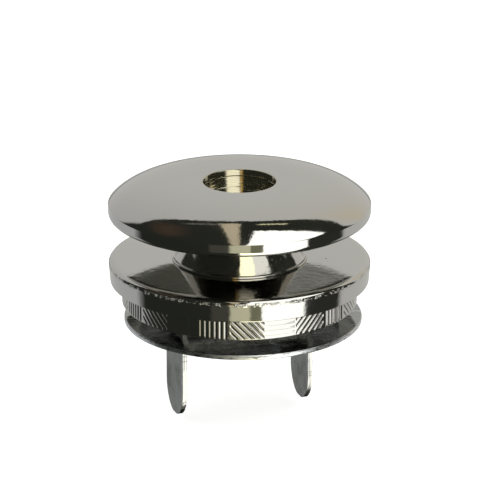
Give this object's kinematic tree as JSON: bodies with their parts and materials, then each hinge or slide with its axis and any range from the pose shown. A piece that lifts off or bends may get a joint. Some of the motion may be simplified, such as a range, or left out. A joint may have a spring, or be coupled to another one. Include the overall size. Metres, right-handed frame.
{
  "type": "magnetic snap",
  "caption": "Round nickel magnetic snap: domed and riveted flap half on a knurled magnet half with prongs and a loose backing washer.",
  "frame": {"origin": "on the snap's axis, in the plane of the magnet half's seat (the underside of the folded strip between the prongs, with the rivet's flush end in it), which lies on the front of the bag", "axes": "+Z along the snap's axis from the magnet half to the domed cap, the way the flap half pulls off; the two prongs stand on +X and -X and point to -Z"},
  "size_m": [0.018, 0.018, 0.0163],
  "materials": {
    "bright_nickel": "bright nickel plate, mirror polished",
    "neck_nickel": "bright nickel plate on a turned neck",
    "knurled_nickel": "bright nickel plate over milled knurling",
    "washer_nickel": "nickel plated stamping, rubbed edge",
    "prong_steel": "nickel plated sheet, satin with fine scratches",
    "dull_nickel": "dull nickel plated steel",
    "magnet": "dark grey coated magnet"
  },
  "bodies": {
    "magnet_half": {"knurled_case": "knurled_nickel", "ring_magnet": "magnet", "back_plate": "dull_nickel", "centre_rivet": "dull_nickel", "prong_strip": "prong_steel"},
    "flap_half": {"cap_shell": "bright_nickel", "cap_plate": "dull_nickel", "neck": "neck_nickel", "disc_cover": "bright_nickel", "striker_plate": "dull_nickel", "post": "dull_nickel"},
    "washer": {"backing_washer": "washer_nickel"}
  },
  "joints": [
    {"name": "snap_pull", "type": "slide", "parent": "magnet_half", "child": "flap_half", "axis": [0, 0, 1], "range_m": [0, 0.012]},
    {"name": "washer_slide", "type": "slide", "parent": "magnet_half", "child": "washer", "axis": [0, 0, -1], "range_m": [-0.0009, 0.0068]}
  ]
}
